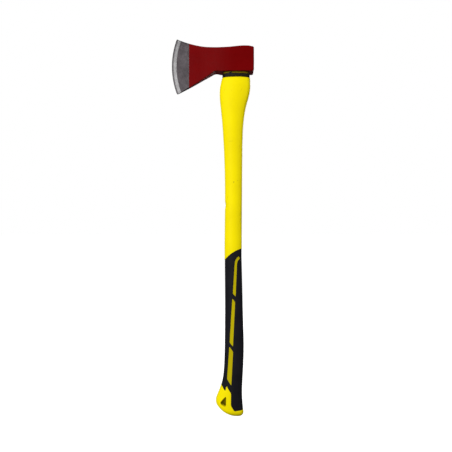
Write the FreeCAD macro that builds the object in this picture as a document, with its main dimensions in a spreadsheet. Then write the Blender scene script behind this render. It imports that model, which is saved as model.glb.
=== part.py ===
import FreeCAD, Part
import math
import os
import Sketcher

# A fire axe: a forged steel head bonded on a fibreglass-cored handle with a moulded jacket and grip.
# Frame: the origin is the centre of the eye in the plane of the head's underside, +Z runs up the
# handle, -X points to the cutting edge, +X to the poll, and Y is the thickness. Millimetres.

doc = FreeCAD.newDocument("fire_axe")
sheet = doc.addObject("Spreadsheet::Sheet", "dims")

# ---------------------------------------------------------------- driving sizes

SIZES = [
    # the head, seen from the side
    ("edge_reach", 153.4, "eye centre to the foremost point of the cutting edge"),
    ("edge_radius", 186, "radius of the cutting edge"),
    ("edge_level", 15.2, "height of the edge's foremost point above the underside"),
    ("toe_rise", 80.6, "height of the toe, the upper corner of the edge"),
    ("heel_drop", 52.4, "depth of the heel below the underside"),
    ("head_height", 57.9, "height of the head just ahead of the eye's centre"),
    ("poll_rise", 0.4, "how much higher the poll face reaches"),
    ("poll_wall", 10.5, "steel between the eye and the poll face, at the underside"),
    ("crown_x", 2, "where the hollow top outline turns to the crown over the eye"),
    ("top_hollow", 255, "radius of the hollow top outline of the blade"),
    ("top_crown", 195, "radius of the crown over the eye and poll"),
    ("lug_wall", 5.5, "length of the flat lug ahead of the eye"),
    ("notch_reach", 11.6, "front of the lug to the notch between the beard and the lug"),
    ("notch_rise", 2.4, "depth of the notch above the lug"),
    ("notch_radius", 14, "radius of the notch"),
    ("beard_bow", 1200, "radius of the slightly bowed beard, from the notch to the heel"),
    ("heel_round", 3, "radius of the heel"),
    ("toe_round", 1.2, "radius of the toe"),
    ("poll_round", 2.8, "radius of the poll's edges"),
    # the head, seen from above: half thicknesses
    ("bit_half", 1.4, "half thickness of the blank at the edge"),
    ("blade_x", 88, "where the flat cheek of the blade ends"),
    ("blade_half", 7.6, "half thickness there"),
    ("cheek_x", 66, "where the hollow of the cheek turns to the swell of the eye"),
    ("cheek_half", 11.5, "half thickness there"),
    ("cheek_hollow", 130, "radius of the hollow between blade and cheek"),
    ("eye_x", 4, "where the swell of the eye is widest, ahead of the eye's centre"),
    ("eye_wall", 6.6, "steel beside the eye, at the underside"),
    ("eye_swell", 246, "radius of the swell of the eye"),
    ("poll_half", 19, "half width of the poll face"),
    ("edge_land", 0.15, "half thickness of the ground edge"),
    ("bevel_width", 22, "width of the grinding cut that makes the bevel"),
    ("bevel_rise", 4.6, "half thickness gained over that width"),
    # the eye and what fills it
    ("eye_length", 63, "length of the eye at the underside"),
    ("eye_width", 26, "width of the eye at the underside"),
    ("eye_flare_length", 4, "how much longer the eye is at the top of its taper"),
    ("eye_flare_width", 2.5, "how much wider the eye is at the top of its taper"),
    ("eye_end_ease", 2, "how much less than half the eye's width the radius of its ends is"),
    ("eye_margin", 4, "how far the tapered cut runs past the head, above and below"),
    ("resin_low", 1.5, "lower level of the cast resin"),
    ("resin_drop", 3.4, "level of the cast resin below the top of the head"),
    ("resin_end", 1.5, "resin between the tenon and the ends of the eye"),
    ("resin_side", 1.7, "resin between the tenon and the sides of the eye"),
    ("seal_end", 2.8, "thickness of the neck seal at its ends"),
    ("seal_side", 3.4, "thickness of the neck seal over its faces"),
    ("seal_gap", 4.5, "underside of the head to the neck seal"),
    ("seal_height", 8.5, "height of the neck seal"),
    ("seal_lip", 0.6, "how far the shoulder of the handle stands out past the seal"),
    # the handle
    ("handle_length", 817.7, "underside of the head to the end of the butt"),
    ("core_length", 26, "length of the fibreglass core's section"),
    ("core_width", 13, "width of the fibreglass core's section"),
    ("core_end", 4.5, "radius of the core's ends"),
    ("core_offset", 6, "eye centre to the centre of the core"),
    ("core_floor", 56, "end of the butt to the lower end of the core"),
    ("round_share", 0.36, "radius of the handle's narrow sides, as a share of its thickness"),
    ("butt_radius", 66, "radius of the end of the butt"),
    ("butt_centre_x", 7.4, "centre of that radius behind the eye's centre"),
    ("butt_round", 9, "rounding around the end of the butt"),
    ("grip_depth", 2.4, "thickness of the rubber grip"),
    # the moulded recess in each face of the butt, a rounded triangle
    ("recess_back", 24, "eye centre to the back side of the recess"),
    ("recess_front", 38.5, "eye centre to the front corner of the recess"),
    ("recess_top", 51, "height of the recess's upper corner above the end of the butt"),
    ("recess_bottom", 23, "height of the recess's lower corner"),
    ("recess_corner", 34, "height of the recess's front corner"),
    ("recess_round", 2.2, "radius of the recess's corners"),
    ("recess_web", 4, "thickness of the web between the two recesses"),
    # the arcs of the grip's outline
    ("crest_arc", 75, "radius of the grip's upper boundary"),
    ("hook_arc", 24, "radius of the hooked window's outer side"),
    ("hook_inner_arc", 18, "radius of the hooked window's inner side"),
]

# Sections of the neck: name, depth below the underside, reach to the front and back, thickness.
# The section of the shoulder itself follows the neck seal.
NECK_SECTIONS = [
    ("collar", 33, 38.0, 33.9, 33.5),
    ("throat", 52, 39.2, 31.5, 34),
    ("neck", 80, 37.1, 24.0, 33),
    ("nape", 107, 34.2, 19.1, 31.5),
    ("upper_shaft", 147, 31.1, 16.0, 29.5),
    ("shaft", 200, 28.3, 14.9, 28),
]

# The waist lies midway between the shaft and the grip head.
WAIST = ("waist", 26.6, 13.9, 27)

# Sections of the grip and butt: name, height above the end of the butt, then as above.
GRIP_SECTIONS = [
    ("grip_head", 378, 27.5, 13.8, 28),
    ("grip_upper", 308, 26.8, 15.2, 29.5),
    ("grip_middle", 227, 26.8, 17.2, 30.5),
    ("grip_lower", 163, 27.4, 18.6, 31),
    ("grip_heel", 113, 29.2, 17.0, 31.5),
    ("bend", 80, 34.0, 15.2, 32.5),
    ("knob", 50, 45.0, 14.5, 33),
    ("butt", 28, 54.0, 15.8, 33),
    ("butt_blank", -8, 68.0, 19.5, 32),
]

# Corners of the grip's outline and of its windows, seen from the side: reach behind the eye's centre
# and height above the end of the butt.
GRIP_CORNERS = [
    ("crest", 26, 401),
    ("crest_front", -34, 361.5),
    ("flank_top", -70, 361.5),
    ("flank_low", -70, 75.5),
    ("tongue_root", -36, 75.5),
    ("tongue_tip", -26, 61.5),
    ("spike", -23.2, 74.5),
    ("apron_top", -12.2, 57),
    ("apron_low", -12.5, 28.5),
    ("apron_foot", -4.5, 14.5),
    ("back_low", 30, 16),
]
WINDOW_CORNERS = {
    "hook": [("hook_tip", 6.4, 380.5), ("hook_bend", -3.6, 362.5), ("hook_front", -8.1, 293),
             ("hook_back", -1.2, 285), ("hook_inner", 2.2, 361), ("hook_end", 9.6, 375.5)],
    "bar": [("bar_front", -9.5, 281.5), ("bar_low_front", -16.0, 177),
            ("bar_low_back", -7.6, 167), ("bar_back", -2.3, 272.5)],
    "strip": [("strip_front", -16.7, 168), ("strip_low_front", -22.0, 90.5),
              ("strip_low_back", -11.6, 75), ("strip_back", -7.3, 155.5)],
}


class Size:
    """A value together with the spreadsheet expression that gives it."""

    def __init__(self, value, text):
        self.value = value
        self.text = text

    @staticmethod
    def of(item):
        return item if isinstance(item, Size) else Size(float(item), str(float(item)))

    def _join(self, other, sign, value):
        return Size(value, f"({self.text} {sign} {Size.of(other).text})")

    def __add__(self, other):
        return self._join(other, "+", self.value + Size.of(other).value)

    def __sub__(self, other):
        return self._join(other, "-", self.value - Size.of(other).value)

    def __mul__(self, other):
        return self._join(other, "*", self.value * Size.of(other).value)

    def __truediv__(self, other):
        return self._join(other, "/", self.value / Size.of(other).value)

    def __neg__(self):
        return Size.of(0) - self

    def root(self):
        return Size(math.sqrt(self.value), f"sqrt({self.text})")


dims = {}


def put(alias, value, note):
    """Write one size in the next row of the spreadsheet."""
    row = len(dims) + 1
    sheet.set(f"A{row}", alias)
    sheet.set(f"B{row}", str(value))
    sheet.setAlias(f"B{row}", alias)
    sheet.set(f"C{row}", note)
    dims[alias] = Size(float(value), f"dims.{alias}")


def fill_sheet():
    for alias, value, note in SIZES:
        put(alias, value, note)
    for name, drop, *shape in NECK_SECTIONS:
        put(f"{name}_drop", drop, f"{name} section: depth below the underside")
        put_shape(name, *shape)
    put_shape(*WAIST)
    for name, rise, *shape in GRIP_SECTIONS:
        put(f"{name}_rise", rise, f"{name} section: height above the end of the butt")
        put_shape(name, *shape)
    corners = GRIP_CORNERS + [corner for window in WINDOW_CORNERS.values() for corner in window]
    for name, across, rise in corners:
        put(f"{name}_at", across, f"{name} corner: reach behind the eye's centre")
        put(f"{name}_rise_to", rise, f"{name} corner: height above the end of the butt")
    dims["eye_end"] = dims["eye_width"] / 2 - dims["eye_end_ease"]


def put_shape(name, front, back, thick):
    put(f"{name}_front", front, f"{name} section: reach to the front")
    put(f"{name}_back", back, f"{name} section: reach to the back")
    put(f"{name}_thick", thick, f"{name} section: thickness")


# ---------------------------------------------------------------- sketches

def bind(target, path, size):
    """Tie a property of an object to the sizes it comes from."""
    target.setExpression(path, Size.of(size).text)


def new_body(label):
    body = doc.addObject("PartDesign::Body", label)
    body.Label = label
    return body


def sketch_on(body, name, role, shift=(0, 0, 0)):
    """A sketch on one of the body's origin planes, moved by shift in the plane's own axes."""
    sketch = body.newObject("Sketcher::SketchObject", name)
    plane = next(item for item in body.Origin.OriginFeatures if item.Role == role)
    sketch.AttachmentSupport = [(plane, "")]
    sketch.MapMode = "FlatFace"
    for letter, amount in zip("xyz", shift):
        bind(sketch, f"AttachmentOffset.Base.{letter}", amount)
    return sketch


def limit(sketch, kind, size, *places):
    """Add a driving constraint and tie it to its size."""
    size = Size.of(size)
    index = sketch.addConstraint(Sketcher.Constraint(kind, *places, size.value))
    bind(sketch, f"Constraints[{index}]", size)


def arc_between(start, end, radius):
    """An arc from start to end; a positive radius bows it to the left of the straight line."""
    span = end - start
    across = FreeCAD.Vector(-span.y, span.x, 0).normalize()
    depth = math.sqrt(radius ** 2 - (span.Length / 2) ** 2)
    centre = (start + end) / 2 - across * math.copysign(depth, radius)
    circle = Part.Circle(centre, FreeCAD.Vector(0, 0, 1), abs(radius))
    angles = [math.atan2(point.y - centre.y, point.x - centre.x) for point in (start, end)]
    if radius > 0:
        angles.reverse()
    return Part.ArcOfCircle(circle, *angles)


def draw(sketch, corners, arcs=None):
    """A closed outline through the corners; arcs gives the radius of each edge that is an arc."""
    arcs = arcs or {}
    points = [FreeCAD.Vector(Size.of(x).value, Size.of(y).value, 0) for x, y in corners]
    first = sketch.GeometryCount
    ends = []
    for index, start in enumerate(points):
        end = points[(index + 1) % len(points)]
        if index in arcs:
            size, side = arcs[index]
            sketch.addGeometry(arc_between(start, end, side * size.value))
            ends.append((2, 1) if side > 0 else (1, 2))
        else:
            sketch.addGeometry(Part.LineSegment(start, end))
            ends.append((1, 2))
    for index, (x, y) in enumerate(corners):
        after = (index + 1) % len(points)
        sketch.addConstraint(Sketcher.Constraint("Coincident", first + index, ends[index][1],
                                                 first + after, ends[after][0]))
        limit(sketch, "DistanceX", x, -1, 1, first + index, ends[index][0])
        limit(sketch, "DistanceY", y, -1, 1, first + index, ends[index][0])
        if index in arcs:
            limit(sketch, "Radius", arcs[index][0], first + index)


def draw_oval(sketch, front, back, thick, end_radius):
    """An oval of four tangent arcs: narrow ends at -front and +back, broad sides thick apart."""
    half_length = (front + back) / 2 - end_radius
    side_radius = (half_length * half_length + thick * thick / 4 - end_radius * end_radius) / (
        thick - end_radius * 2)
    middle = (back.value - front.value) / 2
    rise = side_radius.value - thick.value / 2
    turn = math.atan2(rise, half_length.value)
    normal = FreeCAD.Vector(0, 0, 1)
    quarter = math.pi / 2
    layout = [
        (middle + half_length.value, 0, end_radius.value, -turn, turn),
        (middle, -rise, side_radius.value, turn, 2 * quarter - turn),
        (middle - half_length.value, 0, end_radius.value, 2 * quarter - turn, 2 * quarter + turn),
        (middle, rise, side_radius.value, 2 * quarter + turn, 4 * quarter - turn),
    ]
    for x, y, radius, low, high in layout:
        circle = Part.Circle(FreeCAD.Vector(x, y, 0), normal, radius)
        sketch.addGeometry(Part.ArcOfCircle(circle, low, high))
    for index in range(4):
        sketch.addConstraint(Sketcher.Constraint("Tangent", index, 2, (index + 1) % 4, 1))
    for end in (0, 2):
        sketch.addConstraint(Sketcher.Constraint("PointOnObject", end, 3, -1))
    sketch.addConstraint(Sketcher.Constraint("Equal", 0, 2))
    sketch.addConstraint(Sketcher.Constraint("Equal", 1, 3))
    limit(sketch, "Radius", end_radius, 0)
    limit(sketch, "Radius", side_radius, 1)
    limit(sketch, "DistanceX", back - end_radius, -1, 1, 0, 3)
    limit(sketch, "DistanceX", end_radius - front, -1, 1, 2, 3)


# ---------------------------------------------------------------- features

def pad(body, sketch, length, name, **options):
    feature = body.newObject("PartDesign::Pad", name)
    feature.Profile = sketch
    bind(feature, "Length", length)
    for key, value in options.items():
        setattr(feature, key, value)
    doc.recompute()
    return feature


def pocket(body, sketch, name, **options):
    """A cut through everything on both sides of the sketch, or of a given length on one side."""
    feature = body.newObject("PartDesign::Pocket", name)
    feature.Profile = sketch
    if "length" in options:
        bind(feature, "Length", options.pop("length"))
    else:
        feature.SideType = "Two sides"
        feature.Type = "ThroughAll"
        feature.Type2 = "ThroughAll"
    for key, value in options.items():
        setattr(feature, key, value)
    doc.recompute()
    check_cut(body, feature)
    return feature


def check_cut(body, feature):
    """A cut that points away from the solid removes nothing, so its volume is compared."""
    before = feature.BaseFeature.Shape.Volume
    if not feature.Shape.Volume < before - 1:
        raise RuntimeError(f"{body.Label}.{feature.Name} removes nothing")


def loft(body, kind, sketches, name):
    feature = body.newObject(f"PartDesign::{kind}", name)
    feature.Profile = sketches[0]
    feature.Sections = [(sketch, [""]) for sketch in sketches[1:]]
    doc.recompute()
    return feature


def fillet(body, base, edges, radius, name):
    feature = body.newObject("PartDesign::Fillet", name)
    feature.Base = (base, edges)
    bind(feature, "Radius", radius)
    doc.recompute()
    return feature


def edges_where(feature, test):
    """Names of the edges of a feature that pass a test."""
    return [f"Edge{number}" for number, edge in enumerate(feature.Shape.Edges, 1) if test(edge)]


def runs_along_y(edge, x, z, reach=0.5):
    """True for an edge parallel to Y through a point of the side view."""
    box = edge.BoundBox
    flat = box.XLength < 0.01 and box.ZLength < 0.01 and box.YLength > 0.5
    return flat and math.hypot(box.Center.x - x.value, box.Center.z - z.value) < reach


def through_wall(sketch, corners, margin=60):
    """Surround an outline that is already in the sketch with a rectangle well outside it."""
    xs = [Size.of(x).value for x, _ in corners]
    ys = [Size.of(y).value for _, y in corners]
    low_x, high_x = min(xs) - margin, max(xs) + margin
    low_y, high_y = min(ys) - margin, max(ys) + margin
    draw(sketch, [(low_x, low_y), (high_x, low_y), (high_x, high_y), (low_x, high_y)])


# ---------------------------------------------------------------- the head

def make_head():
    """The forged head: side outline, cheeks, rounded edges, tapered eye and ground bevel."""
    body = new_body("axe_head")
    d = dims
    edge_x = d["edge_radius"] - d["edge_reach"]

    def on_edge(z):
        rise = z - d["edge_level"]
        return edge_x - (d["edge_radius"] * d["edge_radius"] - rise * rise).root()

    toe = (on_edge(d["toe_rise"]), d["toe_rise"])
    heel = (on_edge(-d["heel_drop"]), -d["heel_drop"])
    lug_front = d["eye_length"] / 2 + d["lug_wall"]
    poll_reach = d["eye_length"] / 2 + d["poll_wall"]
    eye_half = d["eye_width"] / 2 + d["eye_wall"]
    notch = (-lug_front - d["notch_reach"], d["notch_rise"])
    side = [toe, (-d["crown_x"], d["head_height"]), (poll_reach, d["head_height"] + d["poll_rise"]),
            (poll_reach, Size.of(0)), (-lug_front, Size.of(0)), notch, heel]
    outline = sketch_on(body, "head_outline", "XZ_Plane")
    draw(outline, side, {0: (d["top_hollow"], -1), 1: (d["top_crown"], 1), 5: (d["beard_bow"], 1),
                         6: (d["edge_radius"], 1)})
    blank = pad(body, outline, (eye_half + 1) * 2, "forging", SideType="Symmetric")

    corners = [(notch, d["notch_radius"], "notch_round"), (heel, d["heel_round"], "heel_rounding"),
               (toe, d["toe_round"], "toe_rounding")]
    for (x, z), radius, name in corners:
        blank = fillet(body, blank, edges_where(blank, lambda edge: runs_along_y(edge, x, z)),
                       radius, name)

    plan = sketch_on(body, "cheek_outline", "XY_Plane")
    cheek = [(-d["edge_reach"], d["bit_half"]), (-d["blade_x"], d["blade_half"]),
             (-d["cheek_x"], d["cheek_half"]), (-d["eye_x"], eye_half),
             (poll_reach, d["poll_half"])]
    front = -d["edge_reach"] - 1
    back = poll_reach + 1
    half = [(front, d["bit_half"])] + cheek + [(back, d["poll_half"])]
    points = half + [(x, -y) for x, y in reversed(half)]
    last = len(points) - 1
    arcs = {2: (d["cheek_hollow"], -1), 3: (d["eye_swell"], 1),
            last - 4: (d["eye_swell"], 1), last - 3: (d["cheek_hollow"], -1)}
    draw(plan, points, arcs)
    through_wall(plan, points)
    shaped = pocket(body, plan, "cheeks")

    poll_edges = edges_where(shaped, lambda edge: edge.BoundBox.XMin > poll_reach.value - 0.01)
    fillet(body, shaped, poll_edges, d["poll_round"], "poll_rounding")

    loft(body, "SubtractiveLoft", eye_sections(body), "eye")

    bevel = sketch_on(body, "bevel_outline", "XY_Plane", (edge_x, 0, d["edge_level"]))
    inner = -(d["edge_radius"] - d["bevel_width"])
    outer = -(d["edge_radius"] + 2)
    rise = d["edge_land"] + d["bevel_rise"]
    for flip in (1, -1):
        wedge = [(-d["edge_radius"], d["edge_land"]), (inner, rise), (outer, rise),
                 (outer, d["edge_land"])]
        draw(bevel, [(x, y * flip) for x, y in wedge])
    grind = body.newObject("PartDesign::Groove", "bevel")
    grind.Profile = bevel
    grind.ReferenceAxis = (bevel, ["V_Axis"])
    grind.Angle = 360
    doc.recompute()
    check_cut(body, grind)
    return body


def eye_sections(body):
    """The two ends of the tapered eye."""
    d = dims
    mouth = sketch_on(body, "eye_mouth", "XY_Plane", (0, 0, -d["eye_margin"]))
    half = d["eye_length"] / 2
    draw_oval(mouth, half, half, d["eye_width"], d["eye_end"])
    crown = sketch_on(body, "eye_crown", "XY_Plane", (0, 0, d["head_height"] + d["eye_margin"]))
    half = (d["eye_length"] + d["eye_flare_length"]) / 2
    draw_oval(crown, half, half, d["eye_width"] + d["eye_flare_width"], d["eye_end"])
    return [mouth, crown]


def tenon_half():
    return dims["eye_length"] / 2 - dims["resin_end"]


def tenon_width():
    return dims["eye_width"] - dims["resin_side"] * 2


def tenon_top():
    """The tenon, the core and the resin end at one level in the eye."""
    return dims["head_height"] - dims["resin_drop"]


def shoulder_drop():
    """Depth of the shoulder that carries the seal: the seal stands clear of the underside."""
    return dims["seal_gap"] + dims["seal_height"]


def tenon_sketch(body, name, height):
    sketch = sketch_on(body, name, "XY_Plane", (0, 0, height))
    draw_oval(sketch, tenon_half(), tenon_half(), tenon_width(), dims["eye_end"] - dims["resin_end"])
    return sketch


def make_resin():
    """Cast resin that fills the eye round the tenon."""
    body = new_body("eye_epoxy")
    d = dims
    loft(body, "AdditiveLoft", eye_sections(body), "eye_form")
    wide = d["eye_length"]
    square = [(-wide, -wide), (wide, -wide), (wide, wide), (-wide, wide)]
    above = sketch_on(body, "above_resin", "XY_Plane", (0, 0, tenon_top()))
    draw(above, square)
    pocket(body, above, "level", length=d["head_height"], Reversed=True)
    below = sketch_on(body, "below_resin", "XY_Plane", (0, 0, d["resin_low"]))
    draw(below, square)
    pocket(body, below, "underside", length=d["head_height"])
    pocket(body, tenon_sketch(body, "tenon_hole", d["resin_low"]), "tenon_cavity")
    return body


def seal_outline(sketch, margin=0):
    """The seal's outer oval, or one that stands out past it by a margin."""
    d = dims
    reach = tenon_half() + d["seal_end"] + margin
    draw_oval(sketch, reach, reach, tenon_width() + (d["seal_side"] + margin) * 2,
              d["eye_end"] - d["resin_end"] + d["seal_end"])


def make_seal():
    """The band wrapped round the tenon, on the shoulder of the handle."""
    body = new_body("neck_seal")
    outer = sketch_on(body, "seal_section", "XY_Plane", (0, 0, -shoulder_drop()))
    seal_outline(outer)
    pad(body, outer, dims["seal_height"], "band")
    pocket(body, tenon_sketch(body, "tenon_hole", -shoulder_drop()), "tenon_cavity")
    return body


# ---------------------------------------------------------------- the handle

def butt_level(rise):
    """Height above the underside of a place given by its height above the end of the butt."""
    return rise - dims["handle_length"]


def section_level(name):
    if name == "waist":
        return (section_level("shaft") + section_level("grip_head")) / 2
    drop = dims.get(f"{name}_drop")
    return butt_level(dims[f"{name}_rise"]) if drop is None else -drop


def handle_sections(body, names, inset=0):
    """Sketches of the handle's sections, all reduced by the inset."""
    sketches = []
    for name in names:
        sketch = sketch_on(body, f"{name}_section", "XY_Plane", (0, 0, section_level(name)))
        thick = dims[f"{name}_thick"]
        draw_oval(sketch, dims[f"{name}_front"] - inset, dims[f"{name}_back"] - inset,
                  thick - Size.of(inset) * 2, thick * dims["round_share"] - inset)
        sketches.append(sketch)
    return sketches


def core_sketch(body, name, height):
    d = dims
    sketch = sketch_on(body, name, "XY_Plane", (0, 0, height))
    draw_oval(sketch, d["core_length"] / 2 + d["core_offset"],
              d["core_length"] / 2 - d["core_offset"], d["core_width"], d["core_end"])
    return sketch


def make_core():
    """The pultruded fibreglass bar."""
    body = new_body("handle_core")
    low = butt_level(dims["core_floor"])
    pad(body, core_sketch(body, "core_section", low), tenon_top() - low, "bar")
    return body


def make_handle_form():
    """The outer form of the handle below its shoulder, solid right through."""
    body = new_body("handle_form")
    d = dims
    shoulder = sketch_on(body, "shoulder_section", "XY_Plane", (0, 0, -shoulder_drop()))
    seal_outline(shoulder, d["seal_lip"])
    names = [row[0] for row in NECK_SECTIONS + [WAIST] + GRIP_SECTIONS]
    loft(body, "AdditiveLoft", [shoulder] + handle_sections(body, names), "form")

    end = sketch_on(body, "butt_end", "XZ_Plane")
    centre_x, radius = d["butt_centre_x"], d["butt_radius"]
    centre_z = butt_level(radius)
    left, right, low = centre_x - radius * 1.5, centre_x + radius * 1.5, centre_z - radius * 2
    top = centre_z - radius * 0.28
    draw(end, [(centre_x - radius * 0.96, top), (centre_x + radius * 0.96, top), (right, top),
               (right, low), (left, low), (left, top)], {0: (radius, -1)})
    trimmed = pocket(body, end, "butt_cut")

    def bounds_end(edge):
        return any(edge.isSame(other) for face in trimmed.Shape.Faces for other in face.Edges
                   if isinstance(face.Surface, Part.Cylinder)
                   and abs(face.Surface.Radius - radius.value) < 0.01)

    fillet(body, trimmed, edges_where(trimmed, bounds_end), d["butt_round"], "butt_rounding")
    return body


def make_handle_blank(form):
    """The form with its tenon, its core cavity and the recesses of the butt."""
    body = new_body("handle_blank")
    body.BaseFeature = form
    d = dims
    root = -d["collar_drop"]
    pad(body, tenon_sketch(body, "tenon_section", root), tenon_top() - root, "tenon")
    low = butt_level(d["core_floor"])
    pocket(body, core_sketch(body, "core_cavity_section", low), "core_cavity",
           length=tenon_top() - low + 1, Reversed=True)

    corners = [(-d["recess_back"], butt_level(d["recess_top"])),
               (-d["recess_front"], butt_level(d["recess_corner"])),
               (-d["recess_back"], butt_level(d["recess_bottom"]))]
    for name, side, outward in (("near", 1, True), ("far", -1, False)):
        triangle = sketch_on(body, f"{name}_triangle", "XZ_Plane", (0, 0, d["recess_web"] / 2 * side))
        draw(triangle, corners)
        recess = pocket(body, triangle, f"{name}_recess", length=d["knob_thick"], Reversed=outward)
    for number, (x, z) in enumerate(corners, 1):
        edges = edges_where(recess, lambda edge: runs_along_y(edge, x, z))
        recess = fillet(body, recess, edges, d["recess_round"], f"recess_round_{number}")
    return body


def make_grip_form():
    """The form of the handle under the rubber grip."""
    body = new_body("grip_form")
    names = [row[0] for row in NECK_SECTIONS + [WAIST] + GRIP_SECTIONS]
    loft(body, "AdditiveLoft", handle_sections(body, names, dims["grip_depth"]), "form")
    return body


def side_points(corners):
    return [(dims[f"{name}_at"], butt_level(dims[f"{name}_rise_to"])) for name, _, _ in corners]


def make_grip_outline():
    """What the grip covers, seen from the side, with its three windows."""
    body = new_body("grip_outline")
    outline = sketch_on(body, "grip_edge", "XZ_Plane")
    draw(outline, side_points(GRIP_CORNERS), {0: (dims["crest_arc"], -1)})
    depth = dims["knob_thick"] * 2
    pad(body, outline, depth, "grip_area", SideType="Symmetric")
    for name, corners in WINDOW_CORNERS.items():
        window = sketch_on(body, f"{name}_edge", "XZ_Plane")
        arcs = {}
        if name == "hook":
            arcs = {0: (dims["hook_arc"], -1), 4: (dims["hook_inner_arc"], 1)}
        draw(window, side_points(corners), arcs)
        pocket(body, window, f"{name}_window")
    return body


def boolean(kind, label, base, tool):
    feature = doc.addObject(f"Part::{kind}", label)
    feature.Label = label
    feature.Base = base
    feature.Tool = tool
    doc.recompute()
    return feature


fill_sheet()
doc.recompute()
head = make_head()
resin = make_resin()
seal = make_seal()
core = make_core()
handle_form = make_handle_form()
handle_blank = make_handle_blank(handle_form)
grip_area = boolean("Common", "grip_area", handle_form, make_grip_outline())
grip = boolean("Cut", "grip_sleeve", grip_area, make_grip_form())
jacket = boolean("Cut", "handle_jacket", handle_blank, grip)
doc.recompute()

for item in doc.Objects:
    if "Invalid" in item.State or "Error" in item.State:
        raise RuntimeError(f"{item.Label} failed: {item.State}")

os.makedirs("parts", exist_ok=True)
for item in (head, resin, seal, core, jacket, grip):
    if item.Shape.isNull() or not item.Shape.isValid() or len(item.Shape.Solids) != 1:
        raise RuntimeError(f"{item.Label} is not one sound solid")
    item.Shape.exportStep(f"parts/{item.Label}.step")
    box = item.Shape.optimalBoundingBox()
    print(f"{item.Label:15s} {item.Shape.Volume / 1000:8.1f} cm3  x {box.XMin:7.1f} {box.XMax:7.1f}"
          f"  y {box.YMin:6.1f} {box.YMax:6.1f}  z {box.ZMin:7.1f} {box.ZMax:7.1f}")
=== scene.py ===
import math

import bpy
import numpy as np
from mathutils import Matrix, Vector


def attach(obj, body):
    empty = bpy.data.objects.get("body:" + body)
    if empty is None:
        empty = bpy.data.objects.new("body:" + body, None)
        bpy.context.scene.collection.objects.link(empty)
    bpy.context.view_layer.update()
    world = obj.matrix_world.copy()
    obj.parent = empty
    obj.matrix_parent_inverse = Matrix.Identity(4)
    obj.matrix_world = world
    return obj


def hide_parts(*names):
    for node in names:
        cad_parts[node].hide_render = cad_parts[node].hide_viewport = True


# A fire axe: forged head, bonded tenon, yellow moulded handle with a black rubber grip.
# Shapes are worked out in millimetres in the row frame and turned into metres when a mesh is made.

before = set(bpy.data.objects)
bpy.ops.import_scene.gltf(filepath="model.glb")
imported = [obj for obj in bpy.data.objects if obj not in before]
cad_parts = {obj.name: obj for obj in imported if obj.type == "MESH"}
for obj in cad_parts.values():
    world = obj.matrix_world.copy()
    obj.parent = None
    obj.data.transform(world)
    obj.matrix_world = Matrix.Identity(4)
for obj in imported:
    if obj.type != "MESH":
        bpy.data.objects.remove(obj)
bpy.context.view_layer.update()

MM = 0.001


# ---------------------------------------------------------------- helpers for shapes

def waves(points, length, count=14, seed=1):
    """Smooth unevenness between about -1 and 1, with bumps about length across."""
    rng = np.random.default_rng(seed)
    ways = rng.normal(size=(count, 3))
    ways /= np.linalg.norm(ways, axis=1, keepdims=True)
    rates = 2 * math.pi / (length * rng.uniform(0.7, 1.6, count))
    shifts = rng.uniform(0, 2 * math.pi, count)
    total = np.sin(points @ (ways * rates[:, None]).T + shifts).sum(axis=-1)
    return total / math.sqrt(count * 2)


def smooth_step(value, low, high):
    share = np.clip((value - low) / (high - low), 0, 1)
    return share * share * (3 - 2 * share)


def make_mesh(name, points, faces, attributes=None):
    """A mesh object from points in millimetres, smooth shaded."""
    mesh = bpy.data.meshes.new(name)
    mesh.from_pydata((np.asarray(points) * MM).tolist(), [], faces)
    mesh.validate()
    for key, values in (attributes or {}).items():
        layer = mesh.attributes.new(key, "FLOAT", "POINT")
        layer.data.foreach_set("value", np.asarray(values, np.float32))
    mesh.polygons.foreach_set("use_smooth", [True] * len(mesh.polygons))
    mesh.update()
    piece = bpy.data.objects.new(name, mesh)
    bpy.context.scene.collection.objects.link(piece)
    return piece


def piece_of(obj, node, material):
    """Give a mesh its material, and say which CAD piece it stands for."""
    obj.data.materials.append(material)
    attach(obj, "root")
    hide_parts(node)


def oval_sizes(front, back, thick, end):
    """Half length between the end centres, radius of the broad sides, middle and end angle."""
    half = (front + back) / 2 - end
    side = (half ** 2 + thick ** 2 / 4 - end ** 2) / (thick - 2 * end)
    return half, side, (back - front) / 2, math.atan2(side - thick / 2, half)


def ring(front, back, thick, end, z, quarter):
    """Points of an oval of four tangent arcs, from its front tip by way of -Y, evenly spaced."""
    half, side, middle, turn = oval_sizes(front, back, thick, end)
    split = end * turn
    s = np.linspace(0, split + side * (math.pi / 2 - turn), quarter + 1)
    on_end = s < split
    angle = np.where(on_end, s / end, turn + (s - split) / side)
    x = np.where(on_end, -half - end * np.cos(angle), -side * np.cos(angle))
    y = np.where(on_end, -end * np.sin(angle), side - thick / 2 - side * np.sin(angle))
    x = np.concatenate([x, -x[-2::-1]])
    y = np.concatenate([y, y[-2::-1]])
    x = np.concatenate([x, x[-2:0:-1]]) + middle
    y = np.concatenate([y, -y[-2:0:-1]])
    return np.stack([x, y, np.full(len(x), float(z))], axis=1)


def oval_distance(x, y, front, back, thick, end):
    """Signed distance to such an oval, negative inside; works on arrays."""
    half = (front + back) / 2 - end
    side = (half ** 2 + thick ** 2 / 4 - end ** 2) / (thick - 2 * end)
    rise = side - thick / 2
    u, v = np.abs(x - (back - front) / 2), np.abs(y)
    on_end = (u > half) & (v * half < rise * (u - half))
    return np.where(on_end, np.hypot(u - half, v) - end, np.hypot(u, v + rise) - side)


def reach_of(distance, high):
    """How far each way out the distance turns positive, found by halving."""
    low = np.zeros(len(high))
    for _ in range(40):
        middle = (low + high) / 2
        out = distance(middle) > 0
        high, low = np.where(out, middle, high), np.where(out, low, middle)
    return low


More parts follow.
